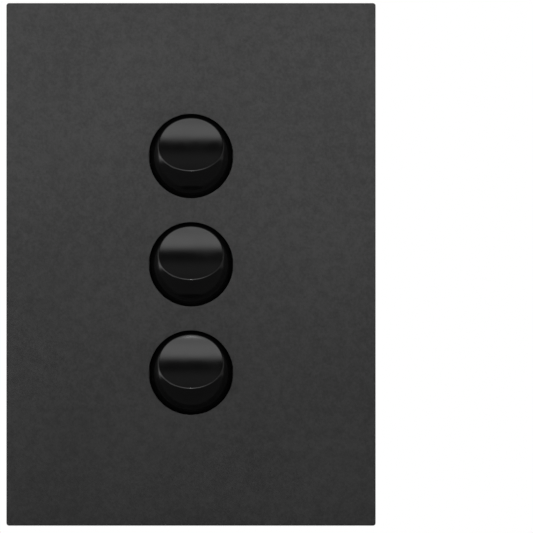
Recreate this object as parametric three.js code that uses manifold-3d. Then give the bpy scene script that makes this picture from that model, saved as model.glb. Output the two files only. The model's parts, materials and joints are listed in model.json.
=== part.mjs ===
// A three-gang light switch plate for one wall box. A folded metal cover, bonded to a plastic carrier,
// pulls off a plastic grid frame that two screws hold to the box. Three switch mechanisms clip into the
// grid. Each has a ball-shaped dolly with a dished face, a sprung plunger, a rocking contact and four
// tunnel terminals with clamp screws.
//
// Millimetres. +X is right, +Z is up and the front faces -Y. The wall surface is the plane Y = 0.
// The dollies stand in their OFF position: face tilted up, lower edge proud of the cover.
import * as THREE from "three";
import { mergeVertices } from "three/addons/utils/BufferGeometryUtils.js";
import Module from "manifold-3d";

const wasm = await Module();
wasm.setup();

// ---- Driving dimensions ----
const COVER_WIDTH = 87.6;
const COVER_HEIGHT = 124;
const COVER_DEPTH = 8; // wall surface to front face
const COVER_SKIN = 1.2; // sheet thickness, face and folded rim
const COVER_CORNER = 0.6;
const GANG_PITCH = 25.7;
const HOLE_RADIUS = 10;
const BALL_RADIUS = 10.5; // dolly side surface, centred on its pivot
const PIVOT_BEHIND_FACE = 5.3;
const DOLLY_TILT = THREE.MathUtils.degToRad(20); // either side of square to the plate
const DISH_RADIUS = 24; // finger dish, a cylinder across the face
const DISH_FROM_PIVOT = 7.1; // bottom of the dish
const FIXING_CENTRES = 84; // the standard wall box spacing
const PLAY = 0.3; // gap between separate pieces

// ---- Levels along Y, worked out from the above ----
const FACE_Y = -COVER_DEPTH;
const SKIN_BACK_Y = FACE_Y + COVER_SKIN;
const CARRIER_FRONT_Y = SKIN_BACK_Y + PLAY;
const CARRIER_BACK_Y = CARRIER_FRONT_Y + 1.5;
const PIVOT_Y = FACE_Y + PIVOT_BEHIND_FACE;
const GRID_FRONT_Y = -3.2;
const GRID_LIP_Y = CARRIER_BACK_Y + 0.4;
const HOUSING_FRONT_Y = CARRIER_BACK_Y + 0.4; // square part of the mechanism
const HOUSING_SPLIT_Y = 5; // front housing ends here
const FLOOR_BACK_Y = 15.2; // back of the rear housing
const FLOOR_THICKNESS = 2;
const STRIP_FRONT_Y = 11.6; // front of the terminal strips
const STRIP_THICKNESS = 0.8;
const TERMINAL_BACK_Y = 24;
const CLAMP_Y = 20; // axis of the clamp screws

// ---- Mechanism sizes ----
const MECH_HALF = 12; // half the square housing
const WALL = 1.4;
const CAVITY_RADIUS = BALL_RADIUS + PLAY;
const NECK_RADIUS = 11.6;
const FLAT_HALF = 9.6; // flats on the dolly's two ends
const SLAB_HALF = FLAT_HALF + PLAY;
const PIN_RADIUS = 1.5;
const PIN_REACH = 11;
const STEM_RADIUS = 2.8;
const STEM_BORE = 1.75;
const STEM_END = 7.6; // from the pivot, towards the wall
const BORE_END = -2.2;
const PLUNGER_RADIUS = 1.5;
const PLUNGER_REAR = 9.3; // centre of the round tip, from the pivot
const PLUNGER_HEAD = 4.4;
const BLADE_THICKNESS = 0.8;
const BLADE_WIDTH = 4.8;
const BLADE_HALF = 8.3;
const BLADE_RATIO = -0.35; // blade turn for each turn of the dolly
const BLADE_PIVOT_Y = PIVOT_Y + PLUNGER_REAR + PLUNGER_RADIUS + PLAY + BLADE_THICKNESS;
const CONTACT_Z = 7;
const CONTACT_RADIUS = 1.4;
const TERMINAL_OFFSET = 6.3; // barrel axes, from the mechanism's axis along X and Z
const BARREL_RADIUS = 3.3;
const BARREL_BORE = 2.3;
const BARREL_BORE_FLOOR_Y = 16.4;
const CLAMP_BOSS_X = 10.6;
const CLAMP_HOLE_RADIUS = 1.85;
const PEG = { x: 35, z: 50, radius: 2 };
const GRID = { width: 82, height: 118, corner: 2, lip: 1.4 };
const NOTCH = { half: 5, depth: 1.5 }; // in the cover's lower rim
const SHOULDER = { half: 13.4, thickness: 2, halfHeight: 9 }; // stops against the back of the grid
const SNAP_LUG = { half: 12.9, halfHeight: 3.5 }; // holds the front of the grid

// ---- Finishes ----
const FINISH = {
  cover: { color: 0x3e3e3e, roughness: 0.6, metalness: 0.2 },
  carrier: { color: 0x1b1b1d, roughness: 0.7, metalness: 0 },
  grid: { color: 0x232325, roughness: 0.65, metalness: 0 },
  dolly: { color: 0x0b0b0c, roughness: 0.22, metalness: 0 },
  frontHousing: { color: 0x111112, roughness: 0.5, metalness: 0 },
  rearHousing: { color: 0xcfcdc6, roughness: 0.5, metalness: 0 },
  brass: { color: 0xb8924a, roughness: 0.35, metalness: 1 },
  copper: { color: 0xb87650, roughness: 0.35, metalness: 1 },
  zincSteel: { color: 0xb9bcc0, roughness: 0.3, metalness: 1 },
  springSteel: { color: 0x8d8f93, roughness: 0.3, metalness: 1 },
  plunger: { color: 0xe6e2d4, roughness: 0.4, metalness: 0 },
};
const materials = {};
for (const [name, values] of Object.entries(FINISH)) {
  materials[name] = new THREE.MeshStandardMaterial({ ...values, flatShading: true });
}

// ---- Solids ----
// A closed geometry as a solid: shared vertices merged and collapsed triangles dropped.
function solid(geometry) {
  const bare = geometry.clone();
  bare.deleteAttribute("normal");
  bare.deleteAttribute("uv");
  const merged = mergeVertices(bare, 1e-4);
  const corners = merged.index.array;
  const kept = [];
  for (let i = 0; i < corners.length; i += 3) {
    const [a, b, c] = corners.slice(i, i + 3);
    if (a !== b && b !== c && a !== c) kept.push(a, b, c);
  }
  return new wasm.Manifold(
    new wasm.Mesh({
      numProp: 3,
      vertProperties: merged.attributes.position.array,
      triVerts: new Uint32Array(kept),
    }),
  );
}

function geometryOf(body) {
  const mesh = body.getMesh();
  const geometry = new THREE.BufferGeometry();
  geometry.setAttribute("position", new THREE.BufferAttribute(mesh.vertProperties, mesh.numProp));
  geometry.setIndex(new THREE.BufferAttribute(mesh.triVerts, 1));
  return geometry;
}

// A block between low and high values on each axis.
function block([x0, x1], [y0, y1], [z0, z1]) {
  const geometry = new THREE.BoxGeometry(x1 - x0, y1 - y0, z1 - z0);
  return solid(geometry.translate((x0 + x1) / 2, (y0 + y1) / 2, (z0 + z1) / 2));
}

function rodAlongY(radius, y0, y1, x = 0, z = 0, sides = 24) {
  const geometry = new THREE.CylinderGeometry(radius, radius, y1 - y0, sides);
  return solid(geometry.translate(x, (y0 + y1) / 2, z));
}

function rodAlongX(radius, x0, x1, y = 0, z = 0, sides = 20) {
  const geometry = new THREE.CylinderGeometry(radius, radius, x1 - x0, sides);
  return solid(geometry.rotateZ(Math.PI / 2).translate((x0 + x1) / 2, y, z));
}

function ball(radius, y, sides, rings) {
  return solid(new THREE.SphereGeometry(radius, sides, rings).translate(0, y, 0));
}

// A rectangular sheet with round corners, square to Y.
function sheet(width, height, corner, y0, y1) {
  const w = width / 2;
  const h = height / 2;
  const outline = new THREE.Shape();
  outline.moveTo(-w + corner, -h);
  outline.lineTo(w - corner, -h);
  outline.absarc(w - corner, -h + corner, corner, -Math.PI / 2, 0);
  outline.absarc(w - corner, h - corner, corner, 0, Math.PI / 2);
  outline.absarc(-w + corner, h - corner, corner, Math.PI / 2, Math.PI);
  outline.absarc(-w + corner, -h + corner, corner, Math.PI, 1.5 * Math.PI);
  const geometry = new THREE.ExtrudeGeometry(outline, {
    depth: y1 - y0,
    bevelEnabled: false,
    curveSegments: 4,
  });
  return solid(geometry.rotateX(Math.PI / 2).translate(0, y1, 0));
}

// A profile of [radius, y] points turned about the Y axis.
function turned(profile, sides) {
  return new THREE.LatheGeometry(
    profile.map(([radius, y]) => new THREE.Vector2(radius, y)),
    sides,
  );
}

function cutAll(body, tools) {
  return tools.reduce((left, tool) => left.subtract(tool), body);
}

function joinAll(bodies) {
  return bodies.reduce((whole, body) => whole.add(body));
}

function part(name, shape, material) {
  const geometry = shape.isBufferGeometry ? shape : geometryOf(shape);
  const mesh = new THREE.Mesh(geometry, materials[material]);
  mesh.name = name;
  return mesh;
}

// ---- Cover ----
const gangHeights = [GANG_PITCH, 0, -GANG_PITCH];

// Folded sheet: a flat face with three round holes and a rim back to the wall. The lower rim has
// a notch for the screwdriver that levers the cover off.
function coverPlate() {
  const inside = sheet(
    COVER_WIDTH - 2 * COVER_SKIN,
    COVER_HEIGHT - 2 * COVER_SKIN,
    COVER_CORNER / 2,
    SKIN_BACK_Y,
    1,
  );
  const holes = gangHeights.map((z) => rodAlongY(HOLE_RADIUS, FACE_Y - 1, SKIN_BACK_Y + 1, 0, z, 48));
  const rimZ = -COVER_HEIGHT / 2;
  const notch = block([-NOTCH.half, NOTCH.half], [-NOTCH.depth, 1], [rimZ - 1, rimZ + COVER_SKIN + 0.5]);
  const tray = sheet(COVER_WIDTH, COVER_HEIGHT, COVER_CORNER, FACE_Y, 0);
  return cutAll(tray, [inside, ...holes, notch]);
}

// Plastic back of the cover: a sheet with neck holes and four split pegs that push into the grid.
function coverCarrier() {
  const inset = 2 * (COVER_SKIN + PLAY);
  const back = sheet(COVER_WIDTH - inset, COVER_HEIGHT - inset, 1, CARRIER_FRONT_Y, CARRIER_BACK_Y);
  const holes = gangHeights.map((z) => {
    return rodAlongY(NECK_RADIUS + 0.4, CARRIER_FRONT_Y - 1, CARRIER_BACK_Y + 1, 0, z, 32);
  });
  const pegs = [];
  for (const x of [-PEG.x, PEG.x]) {
    for (const z of [-PEG.z, PEG.z]) {
      const split = block([x - 3, x + 3], [-3.4, 0], [z - PLAY, z + PLAY]);
      pegs.push(rodAlongY(PEG.radius, CARRIER_BACK_Y - 0.5, -0.6, x, z, 12).subtract(split));
    }
  }
  return joinAll([cutAll(back, holes), ...pegs]);
}

// ---- Grid frame ----
const WINDOW_HALF = MECH_HALF + PLAY;
const SCREW_HEAD_RADIUS = 3.2;
const SCREW_HEAD_HEIGHT = 2.2;
const SCREW_SHANK_RADIUS = 1.75;
const SCREW_TIP_Y = 22;
const SCREW_SEAT_Y = -1.4;

// Pockets in the back of the grid, as [x range, z range] in one quarter. Ribs are left between them,
// and the lands round the fixing slots and the peg sockets stay flat on the wall.
const BACK_POCKET_DEPTH = 0.7;
const BACK_POCKETS = [
  [[16, 26.5], [2, 18]],
  [[28, 38.5], [2, 18]],
  [[16, 26.5], [19.5, 36]],
  [[28, 38.5], [19.5, 36]],
  [[16, 28], [37.5, 56.5]],
  [[29.5, 38.5], [37.5, 44]],
  [[0.75, 14.5], [50, 56.5]],
];

function backPockets(sideX, sideZ) {
  return BACK_POCKETS.map(([x, z]) => {
    const xs = x.map((value) => sideX * value).sort((a, b) => a - b);
    const zs = z.map((value) => sideZ * value).sort((a, b) => a - b);
    return block(xs, [-BACK_POCKET_DEPTH, 1], zs);
  });
}

function gridFrame() {
  const frame = sheet(GRID.width, GRID.height, GRID.corner, GRID_LIP_Y, 0);
  const innerWidth = GRID.width - 2 * GRID.lip;
  const innerHeight = GRID.height - 2 * GRID.lip;
  const dished = sheet(innerWidth, innerHeight, GRID.corner - 0.6, GRID_LIP_Y - 1, GRID_FRONT_Y);
  const through = [GRID_FRONT_Y - 1, 1];
  const cuts = [dished];
  for (const z of gangHeights) {
    cuts.push(block([-WINDOW_HALF, WINDOW_HALF], through, [z - WINDOW_HALF, z + WINDOW_HALF]));
  }
  for (const side of [-1, 1]) {
    const z = (side * FIXING_CENTRES) / 2;
    const travel = 1.6; // the slots let the plate be levelled
    for (const [half, y0, y1] of [
      [SCREW_SHANK_RADIUS + PLAY, -2, 1],
      [SCREW_HEAD_RADIUS + PLAY, GRID_FRONT_Y - 1, SCREW_SEAT_Y],
    ]) {
      cuts.push(block([-travel, travel], [y0, y1], [z - half, z + half]));
      cuts.push(rodAlongY(half, y0, y1, -travel, z, 16));
      cuts.push(rodAlongY(half, y0, y1, travel, z, 16));
    }
    // Moulded relief beside the mechanisms, with a rib left across the middle.
    for (const half of [-1, 1]) {
      const xs = [side * 18, side * 32].sort((a, b) => a - b);
      const zs = [half * 2, half * 36].sort((a, b) => a - b);
      cuts.push(block(xs, [GRID_FRONT_Y - 1, -1.6], zs));
      cuts.push(rodAlongY(PEG.radius + PLAY, GRID_FRONT_Y - 1, 1, side * PEG.x, half * PEG.z, 12));
      cuts.push(...backPockets(side, half));
    }
  }
  return cutAll(frame, cuts);
}

// ---- Screws ----
// A pan-head screw with its axis on Y: seat at y = 0, head towards -Y, cross recess in the head.
function panHeadScrew(headRadius, headHeight, shankRadius, length, sides) {
  const blank = solid(
    turned(
      [
        [0, -headHeight],
        [headRadius * 0.72, -headHeight],
        [headRadius, -headHeight * 0.55],
        [headRadius, 0],
        [shankRadius, 0],
        [shankRadius, length - shankRadius * 0.8],
        [shankRadius * 0.4, length],
        [0, length],
      ],
      sides,
    ),
  );
  const arm = headRadius * 0.55;
  const half = headRadius * 0.13;
  const recess = [-headHeight - 1, -headHeight * 0.4];
  return cutAll(blank, [
    block([-arm, arm], recess, [-half, half]),
    block([-half, half], recess, [-arm, arm]),
  ]);
}

function fixingScrew(name, z) {
  const length = SCREW_TIP_Y - SCREW_SEAT_Y;
  const shape = panHeadScrew(SCREW_HEAD_RADIUS, SCREW_HEAD_HEIGHT, SCREW_SHANK_RADIUS, length, 16);
  const screw = part(name, shape, "zincSteel");
  screw.position.set(0, SCREW_SEAT_Y - 0.1, z);
  return screw;
}

// ---- Mechanism housings ----
// Front half: a round neck behind the cover's hole, a ball-shaped cavity and two bearing slots.
// Shoulders stop against the back of the grid, and snap lugs hold its front.
function frontHousing() {
  const square = [-MECH_HALF, MECH_HALF];
  const outside = joinAll([
    rodAlongY(NECK_RADIUS, CARRIER_FRONT_Y, HOUSING_FRONT_Y + 1, 0, 0, 32),
    block(square, [HOUSING_FRONT_Y, HOUSING_SPLIT_Y], square),
    block(
      [-SHOULDER.half, SHOULDER.half],
      [PLAY, PLAY + SHOULDER.thickness],
      [-SHOULDER.halfHeight, SHOULDER.halfHeight],
    ),
    block(
      [-SNAP_LUG.half, SNAP_LUG.half],
      [HOUSING_FRONT_Y, GRID_FRONT_Y - PLAY],
      [-SNAP_LUG.halfHeight, SNAP_LUG.halfHeight],
    ),
  ]);
  const slab = block([-SLAB_HALF, SLAB_HALF], [-20, 20], [-20, 20]);
  const cavity = joinAll([
    ball(CAVITY_RADIUS, PIVOT_Y, 28, 14),
    rodAlongY(CAVITY_RADIUS, PIVOT_Y, HOUSING_SPLIT_Y + 1, 0, 0, 28),
  ]).intersect(slab);
  const slots = [];
  const slotHalf = PIN_RADIUS + 0.25;
  for (const side of [-1, 1]) {
    const xs = [side * (SLAB_HALF - 0.5), side * (PIN_REACH + PLAY)].sort((a, b) => a - b);
    slots.push(rodAlongX(slotHalf, ...xs, PIVOT_Y, 0, 16));
    slots.push(block(xs, [PIVOT_Y, HOUSING_SPLIT_Y + 1], [-slotHalf, slotHalf]));
  }
  return cutAll(outside, [cavity, ...slots]);
}

// Rear half: an open box whose floor passes the four terminals. Two tabs reach into the bearing
// slots and keep the dolly's pins home, and barriers stand between the terminals.
function rearHousing() {
  const start = HOUSING_SPLIT_Y + PLAY;
  const square = [-MECH_HALF, MECH_HALF];
  const inner = [-MECH_HALF + WALL, MECH_HALF - WALL];
  const box = block(square, [start, FLOOR_BACK_Y], square);
  const hollow = block(inner, [start - 1, FLOOR_BACK_Y - FLOOR_THICKNESS], inner);
  const holes = terminalCorners.map(([x, z]) => {
    return rodAlongY(BARREL_RADIUS + PLAY, FLOOR_BACK_Y - 4, FLOOR_BACK_Y + 1, x, z, 16);
  });
  const tabs = [-1, 1].map((side) => {
    const xs = [side * (SLAB_HALF + 0.15), side * (PIN_REACH + 0.05)].sort((a, b) => a - b);
    return block(xs, [PIVOT_Y + PIN_RADIUS + PLAY, start + 1.5], [-1.4, 1.4]);
  });
  const barrierBack = 22;
  const barriers = [
    block([-0.6, 0.6], [FLOOR_BACK_Y - 1, barrierBack], [-11, 11]),
    block([-11, 11], [FLOOR_BACK_Y - 1, barrierBack], [-0.6, 0.6]),
  ];
  return joinAll([cutAll(box, [hollow, ...holes]), ...tabs, ...barriers]);
}

// ---- Dolly, plunger and spring, about the pivot and square to the plate ----
function dolly() {
  const skirt = 1.6; // the ball runs on past its middle, to carry the pins
  const shell = ball(BALL_RADIUS, 0, 36, 18).intersect(
    block([-FLAT_HALF, FLAT_HALF], [-20, skirt], [-20, 20]),
  );
  const dish = rodAlongX(DISH_RADIUS, -20, 20, -DISH_FROM_PIVOT - DISH_RADIUS, 0, 96);
  const hollow = rodAlongY(8, -4.4, skirt + 1, 0, 0, 24);
  const pins = [-1, 1].map((side) => {
    const xs = [side * (FLAT_HALF - 0.9), side * PIN_REACH].sort((a, b) => a - b);
    return rodAlongX(PIN_RADIUS, ...xs, 0, 0, 12);
  });
  const stem = rodAlongY(STEM_RADIUS, -5, STEM_END, 0, 0, 16);
  const bore = rodAlongY(STEM_BORE, BORE_END, STEM_END + 1, 0, 0, 16);
  return joinAll([cutAll(shell, [dish, hollow]), ...pins, stem]).subtract(bore);
}

function plunger() {
  const profile = [
    [0, PLUNGER_HEAD],
    [PLUNGER_RADIUS, PLUNGER_HEAD],
  ];
  const steps = 3;
  for (let i = 0; i <= steps; i++) {
    const angle = (i / steps) * (Math.PI / 2);
    profile.push([PLUNGER_RADIUS * Math.cos(angle), PLUNGER_REAR + PLUNGER_RADIUS * Math.sin(angle)]);
  }
  profile[profile.length - 1][0] = 0;
  return turned(profile, 12);
}

class Helix extends THREE.Curve {
  constructor(radius, y0, y1, turns) {
    super();
    Object.assign(this, { radius, y0, y1, turns });
  }
  getPoint(t) {
    const angle = 2 * Math.PI * this.turns * t;
    return new THREE.Vector3(
      this.radius * Math.cos(angle),
      this.y0 + (this.y1 - this.y0) * t,
      this.radius * Math.sin(angle),
    );
  }
}

function plungerSpring() {
  const turns = 4;
  const wire = 0.24;
  const coil = new Helix(1.2, BORE_END + PLAY + wire, PLUNGER_HEAD - PLAY - wire, turns);
  const section = new THREE.Shape();
  section.absarc(0, 0, wire, 0, 2 * Math.PI);
  return new THREE.ExtrudeGeometry(section, {
    steps: turns * 8,
    curveSegments: 3,
    extrudePath: coil,
    bevelEnabled: false,
  });
}

// ---- Rocking contact, about its own pivot ----
// Where the plunger's round tip is, seen from the blade, at one dolly angle: [y, z].
function tipSeenFromBlade(angle) {
  const y = PIVOT_Y + PLUNGER_REAR * Math.cos(angle) - BLADE_PIVOT_Y;
  const z = PLUNGER_REAR * Math.sin(angle);
  const turn = BLADE_RATIO * angle;
  return [y * Math.cos(turn) + z * Math.sin(turn), -y * Math.sin(turn) + z * Math.cos(turn)];
}

// The front of the blade at one dolly angle: [y, z], square to the tip's path and just clear of it.
function troughPoint(angle) {
  const reach = PLUNGER_RADIUS + PLAY;
  const [y, z] = tipSeenFromBlade(angle);
  const [nextY, nextZ] = tipSeenFromBlade(angle + 1e-3);
  const along = Math.hypot(nextY - y, nextZ - z);
  return [y + (reach * (nextZ - z)) / along, z - (reach * (nextY - y)) / along];
}

const BLADE_END_Y = troughPoint(DOLLY_TILT)[0];
const BUTTON_HEIGHT = 0.6;
const BUTTON_FACE_Y = BLADE_END_Y + BLADE_THICKNESS + BUTTON_HEIGHT;

// Where a fixed contact's face is, so that the blade's button stops just short of it.
const BLADE_TILT = -DOLLY_TILT * BLADE_RATIO;
const FIXED_CONTACT_Y =
  BLADE_PIVOT_Y +
  BUTTON_FACE_Y * Math.cos(BLADE_TILT) +
  (CONTACT_Z + CONTACT_RADIUS) * Math.sin(BLADE_TILT) +
  PLAY;

// The blade: a shallow trough that the tip runs along, with level ends for the contact buttons.
function movingContact() {
  const steps = 8;
  const trough = [];
  for (let i = 0; i <= steps; i++) {
    const [y, z] = troughPoint(DOLLY_TILT * ((2 * i) / steps - 1));
    trough.push([z, y]);
  }
  const upper = [[-BLADE_HALF, BLADE_END_Y], ...trough, [BLADE_HALF, BLADE_END_Y]];
  const lower = upper.map(([z, y]) => [z, y + BLADE_THICKNESS]).reverse();
  const outline = new THREE.Shape([...upper, ...lower].map(([z, y]) => new THREE.Vector2(z, y)));
  const geometry = new THREE.ExtrudeGeometry(outline, { depth: BLADE_WIDTH, bevelEnabled: false });
  // The outline's first axis becomes Z, its second stays Y, and the depth runs along -X.
  const turn = new THREE.Matrix4().makeBasis(
    new THREE.Vector3(0, 0, 1),
    new THREE.Vector3(0, 1, 0),
    new THREE.Vector3(-1, 0, 0),
  );
  geometry.applyMatrix4(turn).translate(BLADE_WIDTH / 2, 0, 0);
  const buttons = [-CONTACT_Z, CONTACT_Z].map((z) => {
    return rodAlongY(CONTACT_RADIUS, BUTTON_FACE_Y - BUTTON_HEIGHT - 0.4, BUTTON_FACE_Y, 0, z, 12);
  });
  return joinAll([solid(geometry), ...buttons]);
}

// ---- Terminals ----
// Corners as [x, z], seen from the front: common and loop on the left, the two ways on the right.
const terminalCorners = [
  [-TERMINAL_OFFSET, TERMINAL_OFFSET],
  [TERMINAL_OFFSET, TERMINAL_OFFSET],
  [TERMINAL_OFFSET, -TERMINAL_OFFSET],
  [-TERMINAL_OFFSET, -TERMINAL_OFFSET],
];
const terminalNames = ["common", "first_way", "second_way", "loop"];
const STRIP = [STRIP_FRONT_Y, STRIP_FRONT_Y + STRIP_THICKNESS];

// A brass barrel with a wire bore from the back, a clamp screw hole from the side and a flange
// inside the housing, with the strips that run from it.
function terminal([x, z], strips) {
  const side = Math.sign(x);
  const bossXs = [x, side * CLAMP_BOSS_X].sort((a, b) => a - b);
  const holeXs = [x, side * (CLAMP_BOSS_X + 1)].sort((a, b) => a - b);
  const brass = joinAll([
    rodAlongY(BARREL_RADIUS, STRIP_FRONT_Y, TERMINAL_BACK_Y, x, z, 16),
    rodAlongY(BARREL_RADIUS + 0.9, STRIP_FRONT_Y, STRIP_FRONT_Y + 1.1, x, z, 16),
    block(bossXs, [CLAMP_Y - 2.8, CLAMP_Y + 2.8], [z - 2.8, z + 2.8]),
    ...strips,
  ]);
  return cutAll(brass, [
    rodAlongY(BARREL_BORE, BARREL_BORE_FLOOR_Y, TERMINAL_BACK_Y + 1, x, z, 16),
    rodAlongX(CLAMP_HOLE_RADIUS, ...holeXs, CLAMP_Y, z, 12),
  ]);
}

function fixedContactStrips(sideZ) {
  const zs = [sideZ * 5.6, sideZ * 8.4].sort((a, b) => a - b);
  return [
    block([-1.6, TERMINAL_OFFSET], STRIP, zs),
    rodAlongY(CONTACT_RADIUS, FIXED_CONTACT_Y, STRIP_FRONT_Y + 0.4, 0, sideZ * CONTACT_Z, 12),
  ];
}

// The common terminal's strip ends in the narrow ridge that the blade rocks on.
function commonStrips() {
  const half = BLADE_WIDTH / 2;
  return [
    block([-TERMINAL_OFFSET - 1, -TERMINAL_OFFSET + 1], STRIP, [-1, TERMINAL_OFFSET]),
    block([-TERMINAL_OFFSET - 1, half], STRIP, [-1, 1]),
    block([-half, half], [BLADE_PIVOT_Y + PLAY, STRIP[1]], [-0.45, 0.45]),
  ];
}

function terminalShape(name, corner) {
  if (name === "common") return terminal(corner, commonStrips());
  if (name === "loop") return terminal(corner, []);
  return terminal(corner, fixedContactStrips(Math.sign(corner[1])));
}

// A clamp screw, backed off: its tip is at the wire bore's wall.
function clampScrew(name, [x, z]) {
  const tipX = TERMINAL_OFFSET + BARREL_BORE + 0.1;
  const seatX = CLAMP_BOSS_X + 2.4;
  const screw = part(name, panHeadScrew(2.5, 1.8, 1.6, seatX - tipX, 10), "zincSteel");
  screw.rotation.z = Math.sign(x) * (Math.PI / 2);
  screw.position.set(Math.sign(x) * seatX, CLAMP_Y, z);
  return screw;
}

// ---- One gang ----
function gang(name, z) {
  const group = new THREE.Group();
  group.position.z = z;
  group.add(part(`${name}_front_housing`, frontHousing(), "frontHousing"));
  group.add(part(`${name}_rear_housing`, rearHousing(), "rearHousing"));

  const rocker = new THREE.Group();
  rocker.position.y = PIVOT_Y;
  rocker.rotation.x = -DOLLY_TILT;
  rocker.add(part(`${name}_dolly`, dolly(), "dolly"));
  rocker.add(part(`${name}_plunger`, plunger(), "plunger"));
  rocker.add(part(`${name}_plunger_spring`, plungerSpring(), "springSteel"));
  group.add(rocker);

  const blade = part(`${name}_moving_contact`, movingContact(), "copper");
  blade.position.y = BLADE_PIVOT_Y;
  blade.rotation.x = BLADE_TILT;
  group.add(blade);

  terminalNames.forEach((terminalName, i) => {
    const corner = terminalCorners[i];
    group.add(part(`${name}_${terminalName}_terminal`, terminalShape(terminalName, corner), "brass"));
    group.add(clampScrew(`${name}_${terminalName}_screw`, corner));
  });
  return group;
}

// ---- The assembly ----
const switchPlate = new THREE.Group();
switchPlate.name = "switch_plate";
switchPlate.add(part("cover_plate", coverPlate(), "cover"));
switchPlate.add(part("cover_carrier", coverCarrier(), "carrier"));
switchPlate.add(part("grid_frame", gridFrame(), "grid"));
switchPlate.add(fixingScrew("upper_fixing_screw", FIXING_CENTRES / 2));
switchPlate.add(fixingScrew("lower_fixing_screw", -FIXING_CENTRES / 2));
["top", "middle", "bottom"].forEach((name, i) => switchPlate.add(gang(name, gangHeights[i])));

export default switchPlate;
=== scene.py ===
"""Looks for a three-gang light switch plate: its shells, rockers, screws and finishes, and the studio."""

import json
import math

import bmesh
import bpy
import numpy as np
from bpy.props import FloatProperty, FloatVectorProperty
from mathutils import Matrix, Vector


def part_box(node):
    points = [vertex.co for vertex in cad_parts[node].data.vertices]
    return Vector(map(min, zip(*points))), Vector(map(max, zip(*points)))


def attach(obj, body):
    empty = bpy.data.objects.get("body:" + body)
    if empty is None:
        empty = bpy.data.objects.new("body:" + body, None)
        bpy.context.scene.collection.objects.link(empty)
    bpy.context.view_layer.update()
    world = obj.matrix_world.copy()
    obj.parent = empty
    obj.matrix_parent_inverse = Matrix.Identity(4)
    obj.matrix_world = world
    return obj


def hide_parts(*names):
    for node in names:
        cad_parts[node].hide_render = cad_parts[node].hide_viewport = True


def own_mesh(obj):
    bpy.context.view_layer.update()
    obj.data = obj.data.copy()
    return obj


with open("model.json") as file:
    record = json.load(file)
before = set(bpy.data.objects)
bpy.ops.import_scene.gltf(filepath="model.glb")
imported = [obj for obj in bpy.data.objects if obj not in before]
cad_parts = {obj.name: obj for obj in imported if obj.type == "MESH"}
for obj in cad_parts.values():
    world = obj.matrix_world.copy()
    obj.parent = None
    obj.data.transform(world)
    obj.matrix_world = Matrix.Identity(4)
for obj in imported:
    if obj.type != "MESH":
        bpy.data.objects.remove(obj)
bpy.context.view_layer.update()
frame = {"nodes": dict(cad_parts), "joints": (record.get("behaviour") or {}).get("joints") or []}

bl_info = {
    "name": "Switch plate looks",
    "version": (1, 0, 0),
    "blender": (4, 5, 0),
    "location": "3D View > Sidebar > Switch plate",
    "description": "Finishes and detailed pieces for a three-gang light switch plate",
    "category": "Object",
}

MM = 0.001
GANGS = ("top", "middle", "bottom")
TERMINALS = ("common", "first_way", "second_way", "loop")


def extent(node):
    """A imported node's box in millimetres: its low corner and its high corner."""
    low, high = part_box(node)
    return np.array(low) / MM, np.array(high) / MM


PLATE_LOW, PLATE_HIGH = extent("cover_plate")
FACE_Y = PLATE_LOW[1]
GANG_Z = {gang: sum(corner[2] for corner in extent(f"{gang}_front_housing")) / 2 for gang in GANGS}
JOINTS = {joint["name"]: joint for joint in frame["joints"]}
PIVOT_Y = JOINTS["top_dolly_rock"]["pos_m"][1] / MM
TILT = math.radians(JOINTS["top_dolly_rock"]["range_deg"][1] / 2)


# ---- Sizes and colours that a user would change ----
def grey(level):
    """A neutral colour."""
    return (level, level, level)


def length(name, description, default):
    """A size in millimetres."""
    return FloatProperty(name=name, description=description, default=default, min=0.0)


def colour(name, description, default):
    """A linear colour without alpha."""
    return FloatVectorProperty(
        name=name, description=description, default=default, size=3, subtype="COLOR", min=0.0, max=1.0
    )


class CoverSettings(bpy.types.PropertyGroup):
    """The folded metal cover."""

    hole_radius: length("Hole radius", "Radius of the three round holes, in millimetres", 10.0)
    hole_edge: length("Hole edge radius", "Softening of the hole's front edge, in millimetres", 0.14)
    edge: length("Edge radius", "Softening of the outer front edge, in millimetres", 0.3)
    corner: length("Corner radius", "Radius of the four corners, in millimetres", 0.6)
    skin: length("Sheet thickness", "Thickness of the folded sheet, in millimetres", 1.2)
    fold: length("Fold radius", "Inside radius of the fold, in millimetres", 0.5)
    paint: colour("Paint", "Colour of the dark grey paint", grey(0.0224))


class RockerSettings(bpy.types.PropertyGroup):
    """The ball-shaped rockers with a dished face."""

    ball: length("Ball radius", "Radius of the ball about its pivot, in millimetres", 10.5)
    dish: length("Dish radius", "Radius of the hollow across the face, in millimetres", 24.0)
    dish_reach: length("Dish reach", "From the pivot to the bottom of the dish, in millimetres", 7.1)
    edge: length("Face edge radius", "Softening of the edge round the face, in millimetres", 0.5)
    flat: length("Flat distance", "From the middle to the flats at the two ends, in millimetres", 9.6)
    plastic: colour("Plastic", "Colour of the polished black plastic", grey(0.0009))


class StageSettings(bpy.types.PropertyGroup):
    """The studio: camera, floor and lights."""

    lens: FloatProperty(name="Lens", description="Focal length", default=300.0, unit="CAMERA")
    margin: FloatProperty(name="Frame height", description="View height over plate height", default=1.0197)
    aside: length("Camera aside", "How far right of the plate's middle the camera stands", 17.91)
    below: length("Camera below", "How far below the plate's middle the camera stands", 0.5)
    key: FloatProperty(
        name="Key power", description="Power of the lamp before the plate", default=0.38, unit="POWER"
    )


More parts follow.
